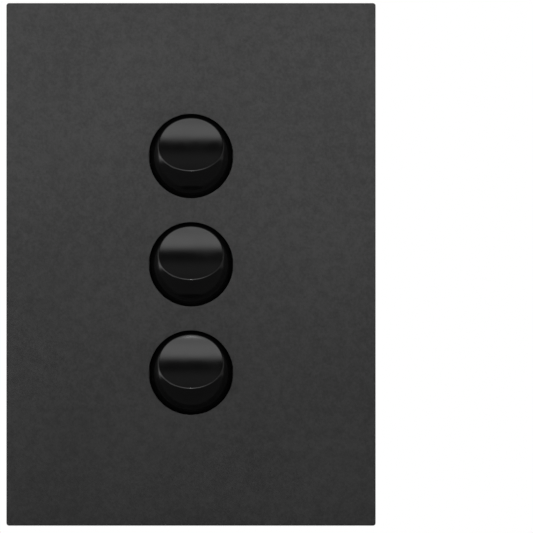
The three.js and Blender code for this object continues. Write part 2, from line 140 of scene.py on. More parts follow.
# ---- Materials written as expressions ----
class Value:
    """A number in a material; an expression on values adds the Math nodes that work it out."""

    def __init__(self, paint, socket):
        self.paint = paint
        self.socket = socket

    def math(self, operation, *terms):
        """One Math node on these terms."""
        made = self.paint.node("ShaderNodeMath", {"operation": operation}, dict(enumerate(terms)))
        return Value(self.paint, made.outputs[0])

    def __add__(self, other):
        return self.math("ADD", self, other)

    __radd__ = __add__

    def __rsub__(self, other):
        return self.math("SUBTRACT", other, self)

    def __mul__(self, other):
        return self.math("MULTIPLY", self, other)

    __rmul__ = __mul__

    def step(self, start, end):
        """0 before start, 1 after end, and a soft slope between them."""
        made = self.paint.node(
            "ShaderNodeMapRange",
            {"interpolation_type": "SMOOTHSTEP"},
            {"Value": self, "From Min": start, "From Max": end},
        )
        return Value(self.paint, made.outputs[0])


class NodeTree:
    """A node tree under construction, for a material or the world."""

    def __init__(self, tree):
        self.tree = tree
        tree.nodes.clear()

    def node(self, kind, settings=None, sockets=None):
        """One node: its settings first, then a value or a link for each named or numbered socket."""
        made = self.tree.nodes.new(kind)
        for key, value in (settings or {}).items():
            setattr(made, key, value)
        for key, value in (sockets or {}).items():
            if isinstance(value, Value):
                self.tree.links.new(value.socket, made.inputs[key])
            elif isinstance(value, bpy.types.NodeSocket):
                self.tree.links.new(value, made.inputs[key])
            else:
                made.inputs[key].default_value = value
        return made

    def direction(self, socket):
        """The three numbers of a vector."""
        made = self.node("ShaderNodeSeparateXYZ", {}, {0: socket})
        return [Value(self, made.outputs[i]) for i in range(3)]


class Paint(NodeTree):
    """One material: a Principled shader and the nodes that vary it over a piece, from object coordinates."""

    def __init__(self, name, **constants):
        self.material = bpy.data.materials.new(name)
        self.material.use_nodes = True
        super().__init__(self.material.node_tree)
        self.shader = self.node("ShaderNodeBsdfPrincipled", {}, constants)
        self.node("ShaderNodeOutputMaterial", {}, {"Surface": self.shader.outputs["BSDF"]})
        self.place = self.node("ShaderNodeTexCoord").outputs["Object"]

    def stretched(self, x=1.0, y=1.0, z=1.0):
        """Object coordinates scaled along each axis, so that a pattern is drawn out or packed."""
        return self.node("ShaderNodeMapping", {}, {"Vector": self.place, "Scale": (x, y, z)}).outputs[0]

    def noise(self, size, detail=2.0, rough=0.5, place=None):
        """Soft noise from 0 to 1 whose blotches are about this many millimetres across."""
        sockets = {"Vector": place or self.place, "Scale": 1 / (size * MM)}
        made = self.node("ShaderNodeTexNoise", {}, {**sockets, "Detail": detail, "Roughness": rough})
        return Value(self, made.outputs["Fac"])

    def blend(self, amount, start, end):
        """A colour between two colours; each is three numbers or a link."""
        ends = {
            key: link if isinstance(link, bpy.types.NodeSocket) else (*link, 1.0)
            for key, link in ((6, start), (7, end))
        }
        return self.node("ShaderNodeMix", {"data_type": "RGBA"}, {0: amount, **ends}).outputs[2]

    def finish(self, colour, roughness, height=None, depth=0.02):
        """Feeds the shader. The height is a number from 0 to 1 that stands depth millimetres proud."""
        for key, value in (("Base Color", colour), ("Roughness", roughness)):
            if isinstance(value, Value):
                value = value.socket
            if isinstance(value, bpy.types.NodeSocket):
                self.tree.links.new(value, self.shader.inputs[key])
            else:
                self.shader.inputs[key].default_value = value
        if height is not None:
            bump = self.node("ShaderNodeBump", {}, {"Height": height, "Distance": depth * MM})
            bump.inputs["Strength"].default_value = 1.0
            self.tree.links.new(bump.outputs[0], self.shader.inputs["Normal"])
        return self.material


def tint(colour, factor):
    """A colour made lighter or darker."""
    return tuple(min(1.0, part * factor) for part in colour)


def powder_paint(colour):
    """Dark matt paint: fine speckle, a slow mottle, and a slightly pebbled surface."""
    paint = Paint("powder_paint", **{"Specular IOR Level": 0.2})
    speckle = paint.noise(0.55, detail=3.0, rough=0.6)
    mottle = paint.noise(2.6, detail=3.0, rough=0.55)
    cloud = paint.noise(24.0, detail=1.0)
    shade = (speckle * 0.5 + mottle * 0.35 + cloud * 0.15).step(0.32, 0.68)
    pebble = paint.noise(0.35, detail=2.0) * 0.6 + paint.noise(1.1, detail=1.0) * 0.4
    return paint.finish(
        colour=paint.blend(shade, tint(colour, 0.74), tint(colour, 1.3)),
        roughness=0.52 + speckle * 0.12 + mottle * 0.08,
        height=pebble,
        depth=0.03,
    )


def polished_plastic(colour):
    """Polished black plastic: almost smooth, with faint handling smears and moulding ripple."""
    paint = Paint("polished_black", **{"IOR": 1.5})
    smear = paint.noise(3.5, detail=3.0, place=paint.stretched(1.0, 1.0, 0.45))
    ripple = paint.noise(5.0, detail=1.0)
    return paint.finish(
        colour=paint.blend(smear, tint(colour, 0.85), tint(colour, 1.3)),
        roughness=0.14 + smear.step(0.4, 0.75) * 0.05,
        height=ripple,
        depth=0.012,
    )


def moulded_plastic(name, colour, rough):
    """Moulded plastic with a spark-eroded grain, faint flow streaks and soft shade changes."""
    paint = Paint(name)
    spark = paint.noise(0.25, detail=2.0, rough=0.6)
    streak = paint.noise(3.0, detail=2.0, place=paint.stretched(1.0, 1.0, 0.18))
    cloud = paint.noise(11.0, detail=2.0)
    shade = streak * 0.5 + cloud * 0.35 + spark * 0.15
    return paint.finish(
        colour=paint.blend(shade, tint(colour, 0.8), tint(colour, 1.2)),
        roughness=(rough - 0.1) + spark * 0.14 + streak * 0.08,
        height=spark * 0.8 + cloud * 0.2,
        depth=0.02,
    )


def worked_metal(name, colour, dull):
    """Bare or plated metal: tool lines across Y, tarnish blotches and small scratches."""
    paint = Paint(name, Metallic=1.0)
    drawn = paint.noise(2.0, detail=3.0, place=paint.stretched(1.0, 14.0, 1.0))
    blotch = paint.noise(3.2, detail=3.0, rough=0.6)
    scratch = paint.noise(0.7, detail=2.0, place=paint.stretched(1.0, 9.0, 2.0)).step(0.62, 0.7)
    return paint.finish(
        colour=paint.blend(blotch.step(0.38, 0.72), colour, dull),
        roughness=0.26 + drawn * 0.12 + blotch * 0.1 + scratch * 0.1,
        height=drawn * 0.8 + scratch * 0.2,
        depth=0.012,
    )


# ---- Surfaces ----
def surface(points, wrap=True, keep=None):
    """The faces of a grid of points, rows by columns: one quad between neighbours. Wrap joins the last
    column to the first. Keep says, for each column, whether the strip to the next column is wanted."""
    rows, columns = points.shape[:2]
    index = np.arange(rows * columns).reshape(rows, columns)
    following = np.roll(index, -1, axis=1)
    wanted = np.ones(columns, bool) if keep is None else keep.copy()
    wanted[-1] = wanted[-1] and wrap
    corners = np.stack([index[:-1], following[:-1], following[1:], index[1:]], axis=-1)
    return points.reshape(-1, 3), corners[:, wanted].reshape(-1, 4)


def make_piece(name, shells, material, body, stands_for=(), crease=35.0):
    """One object from shells of (points in millimetres, quads). Points that meet are merged, which closes
    seams and poles, and faces are turned outwards."""
    starts = np.cumsum([0] + [len(points) for points, _ in shells])
    points = np.concatenate([points for points, _ in shells]) * MM
    quads = np.concatenate([faces + start for (_, faces), start in zip(shells, starts)])
    mesh = bpy.data.meshes.new(name)
    mesh.from_pydata(points.tolist(), [], quads.tolist())
    work = bmesh.new()
    work.from_mesh(mesh)
    bmesh.ops.remove_doubles(work, verts=work.verts, dist=2e-6)
    bmesh.ops.recalc_face_normals(work, faces=work.faces)
    work.to_mesh(mesh)
    work.free()
    mesh.polygons.foreach_set("use_smooth", np.ones(len(mesh.polygons), bool))
    mesh.set_sharp_from_angle(angle=math.radians(crease))
    piece = bpy.data.objects.new(name, mesh)
    bpy.context.scene.collection.objects.link(piece)
    mesh.materials.append(material)
    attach(piece, body)
    if stands_for:
        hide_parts(*stands_for)
    return piece


def round_shading():
    """Geometry nodes that shade a faceted round face as round: faces smooth, edges over 32 degrees sharp."""
    group = bpy.data.node_groups.new("round_shading", "GeometryNodeTree")
    group.interface.new_socket("Geometry", in_out="INPUT", socket_type="NodeSocketGeometry")
    group.interface.new_socket("Geometry", in_out="OUTPUT", socket_type="NodeSocketGeometry")
    tree = NodeTree(group)
    given = tree.node("NodeGroupInput")
    angle = Value(tree, tree.node("GeometryNodeInputMeshEdgeAngle").outputs["Unsigned Angle"])
    sharp = angle.math("GREATER_THAN", angle, math.radians(32))
    smooth = tree.node("GeometryNodeSetShadeSmooth", {"domain": "FACE"}, {0: given.outputs[0]})
    sockets = {0: smooth.outputs[0], 1: sharp, 2: False}
    edged = tree.node("GeometryNodeSetShadeSmooth", {"domain": "EDGE"}, sockets)
    tree.node("NodeGroupOutput", {}, {0: edged.outputs[0]})
    return group


EDGE_SOFTENING = 0.12


def dress(node, material):
    """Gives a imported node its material, softens its sharp edges and shades its round faces as round."""
    piece = frame["nodes"][node]
    piece.data.materials.clear()
    piece.data.materials.append(material)
    weld = piece.modifiers.new("joined", "WELD")
    weld.merge_threshold = 0.002 * MM
    bevel = piece.modifiers.new("soft_edges", "BEVEL")
    bevel.width = EDGE_SOFTENING * MM
    bevel.segments = 2
    bevel.limit_method = "ANGLE"
    bevel.angle_limit = math.radians(40)
    bevel.use_clamp_overlap = True
    shading = piece.modifiers.new("round_shading", "NODES")
    shading.node_group = bpy.data.node_groups.get("round_shading") or round_shading()
    flat = piece.modifiers.new("flat_faces", "WEIGHTED_NORMAL")
    flat.keep_sharp = True


def quarter(steps):
    """Sines and cosines of a quarter turn in equal steps, ends included."""
    angles = np.linspace(0, math.pi / 2, steps + 1)
    return np.sin(angles), np.cos(angles)


def turned(profile, sides, centre=(0, 0, 0), axis="y"):
    """A profile of (radius, distance along the axis) turned about the axis: each point is the centre plus
    the radius times (cosine, sine) across the axis plus the distance along it."""
    radius, along = np.array(profile, float).T
    angle = np.linspace(0, 2 * math.pi, sides, endpoint=False)
    across = radius[:, None] * np.cos(angle)
    up = radius[:, None] * np.sin(angle)
    level = np.repeat(along[:, None], sides, axis=1)
    order = {"y": (across, level, up), "x": (level, across, up)}[axis]
    return surface(np.stack(order, axis=-1) + np.array(centre, float))


def rounded_outline(half_u, half_v, corner, steps=5):
    """Points round a rectangle with round corners: a quarter turn about each corner's centre, in order."""
    turn = np.linspace(0, math.pi / 2, steps + 1)
    quarters = np.concatenate([turn + start * math.pi / 2 for start in range(4)])
    side_u = np.repeat([1, -1, -1, 1], steps + 1)
    side_v = np.repeat([1, 1, -1, -1], steps + 1)
    u = side_u * (half_u - corner) + corner * np.cos(quarters)
    v = side_v * (half_v - corner) + corner * np.sin(quarters)
    return u, v


def moulded_pad(half_u, half_v, height, corner=0.5, edge=0.2, wall=None, ramp=0.0):
    """A block standing on the plane of u and v, as (u, level, v) points. Outlines rise to the height and
    turn in over a rounded edge. With a wall they come back down inside it, which leaves a window; without
    one they close on the middle. A ramp lowers the top in proportion to v, by that share at the low end."""
    sines, cosines = quarter(3)
    rows = [(0.0, -0.05)] + [(edge * (1 - c), height - edge * (1 - s)) for s, c in zip(sines, cosines)]
    if wall is not None:
        rows += [(wall - inset, level) for inset, level in reversed(rows)] + [rows[0]]
    points = []
    for inset, level in rows:
        u, v = rounded_outline(half_u - inset, half_v - inset, max(corner - inset, 0.05))
        share = 1 - ramp * (0.5 - v / (2 * half_v)) if level > 0 else 1.0
        points.append(np.stack([u, level * share + 0 * u, v], axis=1))
    if wall is None:
        ends = [0 * points[i] + points[i].mean(axis=0) for i in (0, -1)]
        points = [ends[0], *points, ends[1]]
    return np.array(points)


def stand_on(points, centre, facing):
    """Turns a pad made on (u, level, v) so that its level runs along a facing of +X, -X, +Y or -Y, with u
    along Z on a side face and along X on a back or front face."""
    u, level, v = np.moveaxis(points, -1, 0)
    axis, sign = facing
    placed = (sign * level, v, u) if axis == "x" else (u, sign * level, v)
    return surface(np.stack(placed, axis=-1) + np.array(centre, float))


# ---- Cover ----
CELL_LIMITS = {
    "top": ((GANG_Z["top"] + GANG_Z["middle"]) / 2, PLATE_HIGH[2]),
    "middle": ((GANG_Z["middle"] + GANG_Z["bottom"]) / 2, (GANG_Z["top"] + GANG_Z["middle"]) / 2),
    "bottom": (PLATE_LOW[2], (GANG_Z["middle"] + GANG_Z["bottom"]) / 2),
}
NOTCH_HALF, NOTCH_DEPTH = 5.0, 1.5
RAYS = 96
CORNER_STEPS = 5


def cell_rays(gang):
    """Rays from a hole's centre to the edge of its third of the plate. Each has an angle, the point where it
    meets the edge, and the plate's outward direction there, which is zero on an edge shared with the next
    third. A corner of the plate is one point with several outward directions."""
    half = PLATE_HIGH[0]
    low, high = (limit - GANG_Z[gang] for limit in CELL_LIMITS[gang])
    plain = np.arange(RAYS) * 2 * math.pi / RAYS
    corners = [math.atan2(z, x) for x in (-half, half) for z in (low, high)]
    notch = [math.atan2(low, x) for s in (-1, 1) for x in (s * NOTCH_HALF - 0.02, s * NOTCH_HALF + 0.02)]
    angles = np.unique(np.round(np.mod([*plain, *corners, *notch], 2 * math.pi), 9))
    x, z = np.cos(angles), np.sin(angles)
    with np.errstate(divide="ignore"):
        reach = np.minimum(half / abs(x), np.where(z > 0, high, -low) / np.maximum(abs(z), 1e-12))
    points = np.stack([x * reach, z * reach + GANG_Z[gang]], axis=1)
    side = np.sign(np.round(points[:, 0] / half, 6).astype(int))
    end = np.sign(np.round(points[:, 1] / PLATE_HIGH[2], 6).astype(int))
    turns = np.where((side != 0) & (end != 0), CORNER_STEPS, 1)
    share = np.concatenate([np.arange(count) / max(count - 1, 1) for count in turns])
    angles, points, side, end = (np.repeat(item, turns, axis=0) for item in (angles, points, side, end))
    # A corner's directions turn from one side to the other, the way the rays go round.
    swap = side * end < 0
    lean = np.where(swap, 1 - share, share) * math.pi / 2
    both = (side != 0) & (end != 0)
    out_x = np.where(both, side * np.cos(lean), side)
    out_z = np.where(both, end * np.sin(lean), end)
    return angles, points, np.stack([out_x, out_z], axis=1)


def inset_edge(points, outward, inset, corner):
    """The plate's outline moved in by the inset. A point is held in the rectangle shrunk by the corner's
    radius, then moved out by that radius."""
    radius = max(corner - inset, 0.08)
    half = np.array([PLATE_HIGH[0], PLATE_HIGH[2]]) - inset - radius
    return np.clip(points, -half, half) + radius * outward


def cover_shell(settings):
    """The folded sheet in three cells, one round each hole. On each ray the section goes up the hole's wall,
    over its edge, along the face, over the plate's edge, down the rim, and back along the inside. Where a
    ray ends on the next cell, only the face and the inside are kept."""
    s = settings
    back = FACE_Y + s.skin
    sines, cosines = quarter(4)
    hole = [(s.hole_radius + 0.12, back), (s.hole_radius, back - 0.12)]
    hole += [
        (s.hole_radius + s.hole_edge * (1 - c), FACE_Y + s.hole_edge * (1 - k))
        for c, k in zip(cosines, sines)
    ]
    rim = [(s.edge * (1 - k), FACE_Y + s.edge * (1 - c)) for k, c in zip(sines, cosines)]
    rim += [(0, -0.15), (0.15, 0), (s.skin - 0.15, 0), (s.skin, -0.15)]
    rim += [(s.skin + s.fold * (1 - c), back + s.fold * (1 - k)) for k, c in zip(sines, cosines)]
    shells = []
    for gang in GANGS:
        angles, points, outward = cell_rays(gang)
        centre = np.array([0, GANG_Z[gang]])
        spokes = np.stack([np.cos(angles), np.sin(angles)], axis=1)
        on_edge = np.any(outward != 0, axis=1)
        notched = (abs(points[:, 0]) < NOTCH_HALF) & (points[:, 1] < PLATE_LOW[2] + 0.01)

        def row(flat, y):
            return np.stack([flat[:, 0], np.broadcast_to(y, len(flat)), flat[:, 1]], axis=1)

        hole_rows = [row(centre + radius * spokes, y) for radius, y in hole]
        rim_rows = []
        for inset, y in rim:
            level = np.where(notched & (y > -NOTCH_DEPTH), -NOTCH_DEPTH, y)
            rim_rows.append(row(inset_edge(points, outward, inset, s.corner), level))
        face = [hole_rows[-1] * (1 - t) + rim_rows[0] * t for t in np.linspace(0, 1, 7)]
        inside = [rim_rows[-1] * (1 - t) + hole_rows[0] * t for t in np.linspace(0, 1, 7)]
        shells.append(surface(np.array(hole_rows)))
        shells.append(surface(np.array(face)))
        shells.append(surface(np.array(inside)))
        shells.append(surface(np.array(rim_rows), keep=on_edge & np.roll(on_edge, -1)))
    return shells


CARRIER_BACK = FACE_Y + 3.0
PEG_X, PEG_Z = 35.0, 50.0
RIB_X = 24.0
RIB_END = 6.0  # from the carrier's end to the end of a rib


def carrier_rib_shells():
    """On the back of the carrier: two long stiffening ribs, and a coned collar round the root of each peg.
    The collar's profile is (radius, distance behind the carrier)."""
    rib = moulded_pad(0.6, extent("cover_carrier")[1][2] - RIB_END, 0.9, corner=0.5)
    collar = [(2.02, -0.1), (3.1, -0.1), (3.1, 0.05), (2.5, 0.7), (2.02, 0.8), (2.02, -0.1)]
    shells = []
    for side in (-1, 1):
        shells.append(stand_on(rib, (side * RIB_X, CARRIER_BACK, 0), ("y", 1)))
        for end in (-1, 1):
            shells.append(turned(collar, 40, centre=(side * PEG_X, CARRIER_BACK, end * PEG_Z)))
    return shells


class SWITCHPLATE_OT_cover(bpy.types.Operator):
    """Build the folded metal cover and finish its plastic carrier"""

    bl_idname = "switch_plate.cover"
    bl_label = "Cover"

    def execute(self, context):
        settings = context.scene.switch_cover
        paint = powder_paint(settings.paint)
        make_piece("folded_cover", cover_shell(settings), paint, "cover", ["cover_plate"])
        black = moulded_plastic("carrier_black", grey(0.018), rough=0.6)
        dress("cover_carrier", black)
        make_piece("carrier_ribs", carrier_rib_shells(), black, "cover")
        return {"FINISHED"}


# ---- Rockers ----
def unit(vectors):
    """Vectors of length one."""
    return vectors / np.linalg.norm(vectors, axis=-1, keepdims=True)


def rocker_shell(s, sides=144):
    """A rocker about its pivot, as (x, forward, up), turned about the forward axis. From the middle outwards:
    the dish, a cylinder across the face; a rounded edge, an arc round a centre that is the edge radius inside
    both the dish and the ball; the ball; then the open back, the hollow, the stem and its bore."""
    angle = np.linspace(0, 2 * math.pi, sides, endpoint=False)
    side, up = np.cos(angle), np.sin(angle)
    ball, dish, edge = s.ball, s.dish, s.edge
    axis = s.dish_reach + dish
    # The arc's centre: out from the axis until it is equally inside the ball and the dish.
    low, high = np.zeros(sides), np.full(sides, ball - edge)
    for _ in range(50):
        out = (low + high) / 2
        ahead = np.sqrt((ball - edge) ** 2 - out**2)
        clear = (ahead - axis) ** 2 + (out * up) ** 2 > (dish + edge) ** 2
        low, high = np.where(clear, low, out), np.where(clear, out, high)
    centre = np.stack([out * side, ahead, out * up], axis=1)
    to_dish = unit(np.stack([0 * out, axis - ahead, -out * up], axis=1))
    to_ball = unit(centre)
    rows = []
    rim = centre + edge * to_dish
    for share in np.linspace(0, 1, 25):
        x, z = rim[:, 0] * share, rim[:, 2] * share
        rows.append(np.stack([x, axis - np.sqrt(dish**2 - z**2), z], axis=1))
    spread = np.arccos(np.sum(to_dish * to_ball, axis=1))[:, None]
    for share in np.linspace(0, 1, 9)[1:]:
        arc = (np.sin((1 - share) * spread) * to_dish + np.sin(share * spread) * to_ball) / np.sin(spread)
        rows.append(centre + edge * arc)
    start = np.arccos(to_ball[:, 1])
    end = math.acos(-1.6 / ball)
    for share in np.linspace(0, 1, 30)[1:]:
        polar = start + (end - start) * share
        rows.append(ball * np.stack([np.sin(polar) * side, np.cos(polar), np.sin(polar) * up], axis=1))
    for radius, ahead in [
        (8.2, -1.6), (8.0, -1.4), (8.0, 4.2), (7.8, 4.4), (3.2, 4.4), (2.8, 4.0), (2.8, -7.4), (2.6, -7.6),
        (1.95, -7.6), (1.75, -7.4), (1.75, 2.2), (0.0, 2.2),
    ]:
        rows.append(np.stack([radius * side, np.full(sides, ahead), radius * up], axis=1))
    points = np.array(rows)
    points[..., 0] = np.clip(points[..., 0], -s.flat, s.flat)
    return surface(points)


def pin_shell(sign):
    """A bearing pin at one end of a rocker: a rod along X with a chamfered end."""
    profile = [(0, 9.0), (1.5, 9.0), (1.5, 10.7), (1.2, 11.0), (0, 11.0)]
    return turned([(r, sign * x) for r, x in profile], 32, axis="x")


def set_at_rest(shell, gang):
    """Turns a shell made square to the plate to the rocker's rest tilt, and moves it to its pivot.
    The forward axis becomes -Y, tipped up by the tilt."""
    points, faces = shell
    x, ahead, up = points.T
    y = PIVOT_Y - ahead * math.cos(TILT) + up * math.sin(TILT)
    z = GANG_Z[gang] + ahead * math.sin(TILT) + up * math.cos(TILT)
    return np.stack([x, y, z], axis=1), faces


class SWITCHPLATE_OT_rockers(bpy.types.Operator):
    """Build the three rockers"""

    bl_idname = "switch_plate.rockers"
    bl_label = "Rockers"

    def execute(self, context):
        settings = context.scene.switch_rocker
        plastic = polished_plastic(settings.plastic)
        for gang in GANGS:
            shells = [rocker_shell(settings), pin_shell(-1), pin_shell(1)]
            shells = [set_at_rest(shell, gang) for shell in shells]
            node = f"{gang}_dolly"
            make_piece(f"{gang}_rocker", shells, plastic, node, [node], crease=50.0)
        return {"FINISHED"}


# ---- Screws ----
HEAD_ROUND = 0.45  # how far the rounded shoulder falls, as a share of a head's height
THREAD_PITCH = 0.6
FIXING_HEAD, FIXING_SHANK = 2.2, 1.75  # head height and shank radius
CLAMP_HEAD, CLAMP_SHANK = 1.8, 1.6


def cross_recess(radius, angle, head_radius, head_height):
    """How deep the cross recess is: full depth where a point is within both the reach and the half width of
    one of the two arms, with sloping walls, and a little deeper towards the middle."""
    across, along = abs(radius * np.cos(angle)), abs(radius * np.sin(angle))
    narrow, wide = np.minimum(across, along), np.maximum(across, along)
    half, reach, wall = 0.15 * head_radius, 0.58 * head_radius, 0.06 * head_radius
    inside = np.clip((half - narrow) / wall, 0, 1) * np.clip((reach - wide) / wall, 0, 1)
    return inside * head_height * (0.6 - 0.25 * radius / head_radius)


def screw_shell(head_radius, head_height, shank_radius, length, sides=48):
    """A pan-head screw as (radius, distance, angle) about its axis, with its seat at distance 0. The head is
    a dome with the cross recess pressed into it. Below it the radius falls from the thread's crest to its
    root and back once a pitch, and the fall is turned round with the angle, so that the thread winds."""
    angle = np.linspace(0, 2 * math.pi, sides, endpoint=False)
    dome = [(head_radius * 0.78 * t, -head_height * (1 - 0.12 * t**2)) for t in np.linspace(0, 1, 26)]
    turn = np.linspace(0, math.pi / 2, 8)[1:]
    round_off = [
        (head_radius * (0.78 + 0.22 * math.sin(a)), -head_height * (0.88 - HEAD_ROUND * (1 - math.cos(a))))
        for a in turn
    ]
    under = [(head_radius, -0.12), (head_radius - 0.1, 0.0), (shank_radius, 0.0)]
    head = np.array(dome + round_off + under)
    along = np.arange(0.15, length - shank_radius * 0.8, THREAD_PITCH / 8)
    taper = [(shank_radius * 0.82, length - shank_radius * 0.8), (shank_radius * 0.4, length), (0, length)]
    shaft = np.stack([np.full(len(along), shank_radius), along], axis=1)
    profile = np.concatenate([head, shaft, taper])
    radius, distance = (np.repeat(column[:, None], sides, axis=1) for column in profile.T)
    distance[: len(dome)] += cross_recess(radius[: len(dome)], angle, head_radius, head_height)
    shank = slice(len(head), len(head) + len(along))
    phase = distance[shank] / THREAD_PITCH - angle / (2 * math.pi)
    groove = np.clip(1.35 * (1 - abs(2 * (phase % 1) - 1)) - 0.1, 0, 1)
    fade = np.clip((distance[shank] - 0.3) / THREAD_PITCH, 0, 1)
    radius[shank] -= THREAD_PITCH * 0.5 * groove * fade
    return radius, distance, angle


def place_screw(shell, seat, direction):
    """Puts a screw's seat at a point, with its tip along a direction on X or Y."""
    radius, distance, angle = shell
    across, up = radius * np.cos(angle), radius * np.sin(angle)
    along = np.array(direction, float)
    side = np.array([along[1], along[0], 0.0])
    points = np.array(seat, float) + distance[..., None] * along + across[..., None] * side
    points[..., 2] += up
    return surface(points)


class SWITCHPLATE_OT_screws(bpy.types.Operator):
    """Build the two fixing screws and the twelve clamp screws"""

    bl_idname = "switch_plate.screws"
    bl_label = "Screws"

    def execute(self, context):
        zinc = worked_metal("bright_zinc", (0.66, 0.68, 0.72), (0.50, 0.52, 0.54))
        for end in ("upper", "lower"):
            node = f"{end}_fixing_screw"
            low, high = extent(node)
            head = (high[0] - low[0]) / 2
            shell = screw_shell(head, FIXING_HEAD, FIXING_SHANK, high[1] - low[1] - FIXING_HEAD)
            seat = (0, low[1] + FIXING_HEAD, (low[2] + high[2]) / 2)
            piece = [place_screw(shell, seat, (0, 1, 0))]
            make_piece(f"{end}_wall_screw", piece, zinc, node, [node])
        for gang in GANGS:
            for terminal in TERMINALS:
                node = f"{gang}_{terminal}_screw"
                low, high = extent(node)
                side = math.copysign(1, low[0] + high[0])
                outer = max(abs(low[0]), abs(high[0]))
                head = (high[2] - low[2]) / 2
                shell = screw_shell(head, CLAMP_HEAD, CLAMP_SHANK, high[0] - low[0] - CLAMP_HEAD)
                seat = (side * (outer - CLAMP_HEAD), (low[1] + high[1]) / 2, (low[2] + high[2]) / 2)
                piece = [place_screw(shell, seat, (-side, 0, 0))]
                make_piece(f"{gang}_{terminal}_clamp_screw", piece, zinc, node, [node])
        return {"FINISHED"}


# ---- Inner works ----
SIDE_X = 12.0  # side faces of the housings
SPLIT_Y = extent("top_front_housing")[1][1]  # back of the front half
# The seating lip is black plastic set in the seam, so that the joint reads as a dark shadow line: painted
# shade.
SEAM_SHADE_LIP_INSET = 0.22  # from a housing's faces to its seating lip
ARM_Z, ARM_Y = 6.3, 7.1
SIDE_RIB_Y = 10.2
BARRIER = 6.8  # how far the terminal barriers stand behind the rear half's floor
EJECTOR = 10.4  # from a mechanism's middle to its ejector marks, across and up


def latch_shells(gang):
    """On the front half: on each side two snap arms that run over the rear half, and the seating lip, a thin
    square ring just inside the faces that bridges the joint between the halves. The lip is black so that the
    seam reads as a dark shadow line: a real lip, and painted shade in the joint."""
    centre_z = GANG_Z[gang]
    arm = moulded_pad(2.6, 3.6, 0.9, corner=0.9, wall=1.1)
    lip = moulded_pad(SIDE_X - SEAM_SHADE_LIP_INSET, SIDE_X - SEAM_SHADE_LIP_INSET, 0.5, corner=0.5, edge=0.05, wall=0.9)
    # This black ring fills the seam between the halves, so that the joint reads as a dark shadow line:
    # painted shade on a real lip.
    shells = [stand_on(lip, (0, SPLIT_Y - 0.05, centre_z), ("y", 1))]
    for side in (-1, 1):
        for z in (-ARM_Z, ARM_Z):
            shells.append(stand_on(arm, (side * SIDE_X, ARM_Y, centre_z + z), ("x", side)))
    return shells


def catch_shells(gang):
    """On the rear half: a ramped catch in each snap arm's window, three ribs between the arms, and the round
    marks of the ejector pins on the floor's four corners."""
    catch = moulded_pad(1.2, 1.6, 0.8, corner=0.2, edge=0.12, ramp=0.75)
    rib = moulded_pad(0.35, 3.6, 0.4, corner=0.3, edge=0.15)
    mark = [(0, -0.05), (0.9, -0.05), (0.9, 0.06), (0.82, 0.1), (0, 0.1)]
    floor = extent(f"{gang}_rear_housing")[1][1] - BARRIER
    shells = []
    for side in (-1, 1):
        for z in (-ARM_Z, ARM_Z):
            shells.append(stand_on(catch, (side * SIDE_X, ARM_Y + 0.6, GANG_Z[gang] + z), ("x", side)))
        for z in (-2.2, 0.0, 2.2):
            shells.append(stand_on(rib, (side * SIDE_X, SIDE_RIB_Y, GANG_Z[gang] + z), ("x", side)))
        for end in (-1, 1):
            shells.append(turned(mark, 24, centre=(side * EJECTOR, floor, GANG_Z[gang] + end * EJECTOR)))
    return shells


def plunger_shell():
    """A plunger about the rocker's pivot: a rod down the rocker's axis, chamfered at the head, with a round
    tip."""
    turn = np.linspace(0, math.pi / 2, 10)
    tip = [(1.5 * math.cos(a), -9.3 - 1.5 * math.sin(a)) for a in turn[:-1]] + [(0, -10.8)]
    return turned([(0, -4.4), (1.3, -4.4), (1.5, -4.6), *tip], 40)


SPRING_FRONT, SPRING_BACK = 1.9, -4.1  # ahead of the rocker's pivot


def spring_shell():
    """A compression spring about the rocker's pivot: a round wire carried along a helix whose rise stops
    in the last turn at each end. Each ring is the helix point plus the wire's radius across the path."""
    coil, wire, turns, end_turn = 1.2, 0.22, 6, 0.8
    share = np.linspace(0, 1, turns * 28 + 1)
    angle = 2 * math.pi * turns * share
    turn = share * turns
    rise = np.clip((turn - end_turn) / (turns - 2 * end_turn), 0, 1)
    closed = wire * 2 * (np.clip(turn / end_turn, 0, 1) + np.clip((turn - turns + end_turn) / end_turn, 0, 1))
    start, end = SPRING_FRONT - wire, SPRING_BACK + wire
    ahead = start + (end - start + 4 * wire) * rise - closed
    around = np.linspace(0, 2 * math.pi, 12, endpoint=False)
    radius = np.full(len(share), wire)
    rows = np.concatenate([[0], np.arange(len(share)), [len(share) - 1]])
    radius = np.concatenate([[0], radius, [0]])[:, None]
    angle, ahead = angle[rows][:, None], ahead[rows][:, None]
    reach = coil + radius * np.cos(around)
    x, up = reach * np.cos(angle), reach * np.sin(angle)
    return surface(np.stack([x, ahead + radius * np.sin(around), up], axis=-1))


def rocker_point(gang, ahead):
    """A point on a rocker's axis at rest, in metres."""
    points, _ = set_at_rest((np.array([[0.0, ahead, 0.0]]), None), gang)
    return tuple(points[0] * MM)


